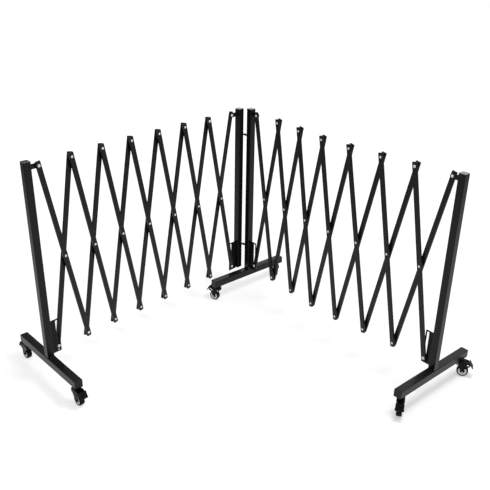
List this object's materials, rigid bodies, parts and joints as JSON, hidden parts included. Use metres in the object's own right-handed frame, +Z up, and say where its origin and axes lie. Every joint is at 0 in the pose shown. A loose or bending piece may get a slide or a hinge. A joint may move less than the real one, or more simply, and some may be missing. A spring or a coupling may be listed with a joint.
{
  "type": "expandable safety barrier",
  "caption": "Scissor lattice barrier: two folding panels hinged at a corner, on square posts with wheeled T stands and braked swivel casters.",
  "frame": {"origin": "on the floor, under the middle of the barrier's bounding box in the pictured position", "axes": "+X along the greatest extent across the open mouth of the corner, +Y from the open mouth to the hinged corner, +Z up"},
  "size_m": [2.0636, 1.3092, 1.0009],
  "materials": {
    "tube_paint": "satin dark powder coat",
    "bar_paint": "satin black powder coat",
    "plate_paint": "satin black powder coat",
    "pin_metal": "zinc plated",
    "caster_steel": "black plated steel",
    "caster_wheel": "black tread on a pale hub",
    "brake_pedal": "black coated pedal"
  },
  "bodies": {
    "centre_stand": {"centre_beam": "tube_paint", "centre_post": "tube_paint", "centre_guide": "plate_paint", "hinge_pin_lower": "pin_metal", "hinge_pin_upper": "pin_metal"},
    "hinged_side": {"hinged_post": "tube_paint", "hinged_guide": "plate_paint"},
    "left_stand": {"left_beam": "tube_paint", "left_post": "tube_paint", "left_guide": "plate_paint"},
    "right_stand": {"right_beam": "tube_paint", "right_post": "tube_paint", "right_guide": "plate_paint"},
    "left_bar_1_front": {"left_bar_1_front": "bar_paint"},
    "left_bar_1_rear": {"left_bar_1_rear": "bar_paint"},
    "left_bar_2_front": {"left_bar_2_front": "bar_paint"},
    "left_bar_2_rear": {"left_bar_2_rear": "bar_paint"},
    "left_bar_3_front": {"left_bar_3_front": "bar_paint"},
    "left_bar_3_rear": {"left_bar_3_rear": "bar_paint"},
    "left_bar_4_front": {"left_bar_4_front": "bar_paint"},
    "left_bar_4_rear": {"left_bar_4_rear": "bar_paint"},
    "left_bar_5_front": {"left_bar_5_front": "bar_paint"},
    "left_bar_5_rear": {"left_bar_5_rear": "bar_paint"},
    "left_bar_6_front": {"left_bar_6_front": "bar_paint"},
    "left_bar_6_rear": {"left_bar_6_rear": "bar_paint"},
    "left_bar_7_front": {"left_bar_7_front": "bar_paint"},
    "left_bar_7_rear": {"left_bar_7_rear": "bar_paint"},
    "right_bar_1_front": {"right_bar_1_front": "bar_paint"},
    "right_bar_1_rear": {"right_bar_1_rear": "bar_paint"},
    "right_bar_2_front": {"right_bar_2_front": "bar_paint"},
    "right_bar_2_rear": {"right_bar_2_rear": "bar_paint"},
    "right_bar_3_front": {"right_bar_3_front": "bar_paint"},
    "right_bar_3_rear": {"right_bar_3_rear": "bar_paint"},
    "right_bar_4_front": {"right_bar_4_front": "bar_paint"},
    "right_bar_4_rear": {"right_bar_4_rear": "bar_paint"},
    "right_bar_5_front": {"right_bar_5_front": "bar_paint"},
    "right_bar_5_rear": {"right_bar_5_rear": "bar_paint"},
    "right_bar_6_front": {"right_bar_6_front": "bar_paint"},
    "right_bar_6_rear": {"right_bar_6_rear": "bar_paint"},
    "right_bar_7_front": {"right_bar_7_front": "bar_paint"},
    "right_bar_7_rear": {"right_bar_7_rear": "bar_paint"},
    "caster_left_front_fork": {"caster_left_front_fork": "caster_steel"},
    "caster_left_front_wheel": {"caster_left_front_wheel": "caster_wheel"},
    "caster_left_front_brake": {"caster_left_front_brake": "brake_pedal"},
    "caster_left_rear_fork": {"caster_left_rear_fork": "caster_steel"},
    "caster_left_rear_wheel": {"caster_left_rear_wheel": "caster_wheel"},
    "caster_left_rear_brake": {"caster_left_rear_brake": "brake_pedal"},
    "caster_centre_front_fork": {"caster_centre_front_fork": "caster_steel"},
    "caster_centre_front_wheel": {"caster_centre_front_wheel": "caster_wheel"},
    "caster_centre_front_brake": {"caster_centre_front_brake": "brake_pedal"},
    "caster_centre_rear_fork": {"caster_centre_rear_fork": "caster_steel"},
    "caster_centre_rear_wheel": {"caster_centre_rear_wheel": "caster_wheel"},
    "caster_centre_rear_brake": {"caster_centre_rear_brake": "brake_pedal"},
    "caster_right_front_fork": {"caster_right_front_fork": "caster_steel"},
    "caster_right_front_wheel": {"caster_right_front_wheel": "caster_wheel"},
    "caster_right_front_brake": {"caster_right_front_brake": "brake_pedal"},
    "caster_right_rear_fork": {"caster_right_rear_fork": "caster_steel"},
    "caster_right_rear_wheel": {"caster_right_rear_wheel": "caster_wheel"},
    "caster_right_rear_brake": {"caster_right_rear_brake": "brake_pedal"}
  },
  "joints": [
    {"name": "middle_hinge", "type": "hinge", "parent": "centre_stand", "child": "hinged_side", "pos_m": [-0.00914, 0.45686, 0.86889], "axis": [0, 0, -1], "range_deg": [-7.66, 96.34]},
    {"name": "right_fold", "type": "hinge", "parent": "centre_stand", "child": "right_bar_1_front", "pos_m": [0.05164, 0.41541, 0.97539], "axis": [-0.7531, -0.6579, 0], "range_deg": [-6.7, 22]},
    {"name": "right_pivot_middle_1", "type": "hinge", "parent": "right_bar_1_front", "child": "right_bar_1_rear", "pos_m": [0.10022, 0.35316, 0.56566], "axis": [0.7531, 0.6579, 0], "range_deg": [-13.5, 44.1]},
    {"name": "right_pivot_foot_1", "type": "hinge", "parent": "right_bar_1_front", "child": "right_bar_2_rear", "pos_m": [0.14881, 0.2909, 0.15593], "axis": [0.7531, 0.6579, 0], "range_deg": [-13.5, 44.1]},
    {"name": "right_pivot_middle_2", "type": "hinge", "parent": "right_bar_2_rear", "child": "right_bar_2_front", "pos_m": [0.19457, 0.22618, 0.56566], "axis": [-0.7531, -0.6579, 0], "range_deg": [-13.5, 44.1]},
    {"name": "right_pivot_top_2", "type": "hinge", "parent": "right_bar_2_rear", "child": "right_bar_3_front", "pos_m": [0.24034, 0.16146, 0.97539], "axis": [-0.7531, -0.6579, 0], "range_deg": [-13.5, 44.1]},
    {"name": "right_pivot_middle_3", "type": "hinge", "parent": "right_bar_3_front", "child": "right_bar_3_rear", "pos_m": [0.28619, 0.09681, 0.56566], "axis": [0.7531, 0.6579, 0], "range_deg": [-13.5, 44.1]},
    {"name": "right_pivot_foot_3", "type": "hinge", "parent": "right_bar_3_front", "child": "right_bar_4_rear", "pos_m": [0.33203, 0.03216, 0.15593], "axis": [0.7531, 0.6579, 0], "range_deg": [-13.5, 44.1]},
    {"name": "right_pivot_middle_4", "type": "hinge", "parent": "right_bar_4_rear", "child": "right_bar_4_front", "pos_m": [0.38367, -0.02743, 0.56566], "axis": [-0.7531, -0.6579, 0], "range_deg": [-13.5, 44.1]},
    {"name": "right_pivot_top_4", "type": "hinge", "parent": "right_bar_4_rear", "child": "right_bar_5_front", "pos_m": [0.43531, -0.08701, 0.97539], "axis": [-0.7531, -0.6579, 0], "range_deg": [-13.5, 44.1]},
    {"name": "right_pivot_middle_5", "type": "hinge", "parent": "right_bar_5_front", "child": "right_bar_5_rear", "pos_m": [0.49314, -0.14119, 0.56566], "axis": [0.7531, 0.6579, 0], "range_deg": [-13.5, 44.1]},
    {"name": "right_pivot_foot_5", "type": "hinge", "parent": "right_bar_5_front", "child": "right_bar_6_rear", "pos_m": [0.55097, -0.19538, 0.15593], "axis": [0.7531, 0.6579, 0], "range_deg": [-13.5, 44.1]},
    {"name": "right_pivot_middle_6", "type": "hinge", "parent": "right_bar_6_rear", "child": "right_bar_6_front", "pos_m": [0.60817, -0.25011, 0.56566], "axis": [-0.7531, -0.6579, 0], "range_deg": [-13.5, 44.1]},
    {"name": "right_pivot_top_6", "type": "hinge", "parent": "right_bar_6_rear", "child": "right_bar_7_front", "pos_m": [0.66537, -0.30484, 0.97539], "axis": [-0.7531, -0.6579, 0], "range_deg": [-13.5, 44.1]},
    {"name": "right_pivot_middle_7", "type": "hinge", "parent": "right_bar_7_front", "child": "right_bar_7_rear", "pos_m": [0.72163, -0.36039, 0.56566], "axis": [0.7531, 0.6579, 0], "range_deg": [-13.5, 44.1]},
    {"name": "right_stand_pivot", "type": "hinge", "parent": "right_bar_7_rear", "child": "right_stand", "pos_m": [0.77789, -0.41594, 0.97539], "axis": [-0.7531, -0.6579, 0], "range_deg": [-6.8, 22.1]},
    {"name": "left_fold", "type": "hinge", "parent": "hinged_side", "child": "left_bar_7_rear", "pos_m": [-0.07502, 0.41239, 0.97539], "axis": [-0.737, 0.6758, 0], "range_deg": [-6.3, 22.3]},
    {"name": "left_pivot_middle_7", "type": "hinge", "parent": "left_bar_7_rear", "child": "left_bar_7_front", "pos_m": [-0.12936, 0.35857, 0.5652], "axis": [0.737, -0.6758, 0], "range_deg": [-12.7, 44.7]},
    {"name": "left_pivot_foot_6", "type": "hinge", "parent": "left_bar_7_rear", "child": "left_bar_6_front", "pos_m": [-0.1837, 0.30474, 0.155], "axis": [0.737, -0.6758, 0], "range_deg": [-12.7, 44.7]},
    {"name": "left_pivot_middle_6", "type": "hinge", "parent": "left_bar_6_front", "child": "left_bar_6_rear", "pos_m": [-0.23644, 0.24944, 0.5652], "axis": [-0.737, 0.6758, 0], "range_deg": [-12.7, 44.7]},
    {"name": "left_pivot_top_5", "type": "hinge", "parent": "left_bar_6_front", "child": "left_bar_5_rear", "pos_m": [-0.28917, 0.19414, 0.97539], "axis": [-0.737, 0.6758, 0], "range_deg": [-12.7, 44.7]},
    {"name": "left_pivot_middle_5", "type": "hinge", "parent": "left_bar_5_rear", "child": "left_bar_5_front", "pos_m": [-0.34131, 0.13829, 0.5652], "axis": [0.737, -0.6758, 0], "range_deg": [-12.7, 44.7]},
    {"name": "left_pivot_foot_4", "type": "hinge", "parent": "left_bar_5_rear", "child": "left_bar_4_front", "pos_m": [-0.39344, 0.08244, 0.155], "axis": [0.737, -0.6758, 0], "range_deg": [-12.7, 44.7]},
    {"name": "left_pivot_middle_4", "type": "hinge", "parent": "left_bar_4_front", "child": "left_bar_4_rear", "pos_m": [-0.44578, 0.02677, 0.5652], "axis": [-0.737, 0.6758, 0], "range_deg": [-12.7, 44.7]},
    {"name": "left_pivot_top_3", "type": "hinge", "parent": "left_bar_4_front", "child": "left_bar_3_rear", "pos_m": [-0.49812, -0.02889, 0.97539], "axis": [-0.737, 0.6758, 0], "range_deg": [-12.7, 44.7]},
    {"name": "left_pivot_middle_3", "type": "hinge", "parent": "left_bar_3_rear", "child": "left_bar_3_front", "pos_m": [-0.5492, -0.08571, 0.5652], "axis": [0.737, -0.6758, 0], "range_deg": [-12.7, 44.7]},
    {"name": "left_pivot_foot_2", "type": "hinge", "parent": "left_bar_3_rear", "child": "left_bar_2_front", "pos_m": [-0.60028, -0.14253, 0.155], "axis": [0.737, -0.6758, 0], "range_deg": [-12.7, 44.7]},
    {"name": "left_pivot_middle_2", "type": "hinge", "parent": "left_bar_2_front", "child": "left_bar_2_rear", "pos_m": [-0.64987, -0.20072, 0.5652], "axis": [-0.737, 0.6758, 0], "range_deg": [-12.7, 44.7]},
    {"name": "left_pivot_top_1", "type": "hinge", "parent": "left_bar_2_front", "child": "left_bar_1_rear", "pos_m": [-0.69944, -0.25891, 0.97539], "axis": [-0.737, 0.6758, 0], "range_deg": [-12.7, 44.7]},
    {"name": "left_pivot_middle_1", "type": "hinge", "parent": "left_bar_1_rear", "child": "left_bar_1_front", "pos_m": [-0.74867, -0.31743, 0.5652], "axis": [0.737, -0.6758, 0], "range_deg": [-12.7, 44.7]},
    {"name": "left_stand_pivot", "type": "hinge", "parent": "left_bar_1_front", "child": "left_stand", "pos_m": [-0.7979, -0.37594, 0.97539], "axis": [-0.737, 0.6758, 0], "range_deg": [-6.4, 22.4]},
    {"name": "caster_left_front_swivel", "type": "hinge", "parent": "left_stand", "child": "caster_left_front_fork", "pos_m": [-0.68979, -0.56049, 0.088], "axis": [0, 0, 1], "continuous": true},
    {"name": "caster_left_front_roll", "type": "hinge", "parent": "caster_left_front_fork", "child": "caster_left_front_wheel", "pos_m": [-0.67558, -0.57457, 0.0255], "axis": [0.704, 0.7102, 0], "continuous": true},
    {"name": "caster_left_front_pedal", "type": "hinge", "parent": "caster_left_front_fork", "child": "caster_left_front_brake", "pos_m": [-0.67984, -0.57035, 0.0667], "axis": [0.704, 0.7102, 0], "range_deg": [-15, 10]},
    {"name": "caster_left_rear_swivel", "type": "hinge", "parent": "left_stand", "child": "caster_left_rear_fork", "pos_m": [-0.97551, -0.25676, 0.088], "axis": [0, 0, 1], "continuous": true},
    {"name": "caster_left_rear_roll", "type": "hinge", "parent": "caster_left_rear_fork", "child": "caster_left_rear_wheel", "pos_m": [-0.98921, -0.2422, 0.0255], "axis": [-0.7284, -0.6852, 0], "continuous": true},
    {"name": "caster_left_rear_pedal", "type": "hinge", "parent": "caster_left_rear_fork", "child": "caster_left_rear_brake", "pos_m": [-0.9851, -0.24657, 0.0667], "axis": [-0.7284, -0.6852, 0], "range_deg": [-15, 10]},
    {"name": "caster_centre_front_swivel", "type": "hinge", "parent": "centre_stand", "child": "caster_centre_front_fork", "pos_m": [-0.13742, 0.31492, 0.088], "axis": [0, 0, 1], "continuous": true},
    {"name": "caster_centre_front_roll", "type": "hinge", "parent": "caster_centre_front_fork", "child": "caster_centre_front_wheel", "pos_m": [-0.15494, 0.32457, 0.0255], "axis": [-0.4827, -0.8758, 0], "continuous": true},
    {"name": "caster_centre_front_pedal", "type": "hinge", "parent": "caster_centre_front_fork", "child": "caster_centre_front_brake", "pos_m": [-0.14969, 0.32168, 0.0667], "axis": [-0.4827, -0.8758, 0], "range_deg": [-15, 10]},
    {"name": "caster_centre_rear_swivel", "type": "hinge", "parent": "centre_stand", "child": "caster_centre_rear_fork", "pos_m": [0.17662, 0.58926, 0.088], "axis": [0, 0, 1], "continuous": true},
    {"name": "caster_centre_rear_roll", "type": "hinge", "parent": "caster_centre_rear_fork", "child": "caster_centre_rear_wheel", "pos_m": [0.17275, 0.60889, 0.0255], "axis": [-0.9812, -0.1932, 0], "continuous": true},
    {"name": "caster_centre_rear_pedal", "type": "hinge", "parent": "caster_centre_rear_fork", "child": "caster_centre_rear_brake", "pos_m": [0.17391, 0.603, 0.0667], "axis": [-0.9812, -0.1932, 0], "range_deg": [-15, 10]},
    {"name": "caster_right_front_swivel", "type": "hinge", "parent": "right_stand", "child": "caster_right_front_fork", "pos_m": [0.65225, -0.58903, 0.088], "axis": [0, 0, 1], "continuous": true},
    {"name": "caster_right_front_roll", "type": "hinge", "parent": "caster_right_front_fork", "child": "caster_right_front_wheel", "pos_m": [0.64679, -0.60827, 0.0255], "axis": [0.9619, -0.2733, 0], "continuous": true},
    {"name": "caster_right_front_pedal", "type": "hinge", "parent": "caster_right_front_fork", "child": "caster_right_front_brake", "pos_m": [0.64843, -0.6025, 0.0667], "axis": [0.9619, -0.2733, 0], "range_deg": [-15, 10]},
    {"name": "caster_right_rear_swivel", "type": "hinge", "parent": "right_stand", "child": "caster_right_rear_fork", "pos_m": [0.9663, -0.31469, 0.088], "axis": [0, 0, 1], "continuous": true},
    {"name": "caster_right_rear_roll", "type": "hinge", "parent": "caster_right_rear_fork", "child": "caster_right_rear_wheel", "pos_m": [0.98533, -0.32082, 0.0255], "axis": [0.3067, 0.9518, 0], "continuous": true},
    {"name": "caster_right_rear_pedal", "type": "hinge", "parent": "caster_right_rear_fork", "child": "caster_right_rear_brake", "pos_m": [0.97962, -0.31898, 0.0667], "axis": [0.3067, 0.9518, 0], "range_deg": [-15, 10]}
  ],
  "couplings": [
    {"joint": "right_pivot_middle_1", "follows": "right_fold", "ratio": 2},
    {"joint": "right_pivot_foot_1", "follows": "right_fold", "ratio": 2},
    {"joint": "right_pivot_middle_2", "follows": "right_fold", "ratio": 2},
    {"joint": "right_pivot_top_2", "follows": "right_fold", "ratio": 2},
    {"joint": "right_pivot_middle_3", "follows": "right_fold", "ratio": 2},
    {"joint": "right_pivot_foot_3", "follows": "right_fold", "ratio": 2},
    {"joint": "right_pivot_middle_4", "follows": "right_fold", "ratio": 2},
    {"joint": "right_pivot_top_4", "follows": "right_fold", "ratio": 2},
    {"joint": "right_pivot_middle_5", "follows": "right_fold", "ratio": 2},
    {"joint": "right_pivot_foot_5", "follows": "right_fold", "ratio": 2},
    {"joint": "right_pivot_middle_6", "follows": "right_fold", "ratio": 2},
    {"joint": "right_pivot_top_6", "follows": "right_fold", "ratio": 2},
    {"joint": "right_pivot_middle_7", "follows": "right_fold", "ratio": 2},
    {"joint": "right_stand_pivot", "follows": "right_fold", "ratio": 1},
    {"joint": "left_pivot_middle_7", "follows": "left_fold", "ratio": 2},
    {"joint": "left_pivot_foot_6", "follows": "left_fold", "ratio": 2},
    {"joint": "left_pivot_middle_6", "follows": "left_fold", "ratio": 2},
    {"joint": "left_pivot_top_5", "follows": "left_fold", "ratio": 2},
    {"joint": "left_pivot_middle_5", "follows": "left_fold", "ratio": 2},
    {"joint": "left_pivot_foot_4", "follows": "left_fold", "ratio": 2},
    {"joint": "left_pivot_middle_4", "follows": "left_fold", "ratio": 2},
    {"joint": "left_pivot_top_3", "follows": "left_fold", "ratio": 2},
    {"joint": "left_pivot_middle_3", "follows": "left_fold", "ratio": 2},
    {"joint": "left_pivot_foot_2", "follows": "left_fold", "ratio": 2},
    {"joint": "left_pivot_middle_2", "follows": "left_fold", "ratio": 2},
    {"joint": "left_pivot_top_1", "follows": "left_fold", "ratio": 2},
    {"joint": "left_pivot_middle_1", "follows": "left_fold", "ratio": 2},
    {"joint": "left_stand_pivot", "follows": "left_fold", "ratio": 1}
  ]
}
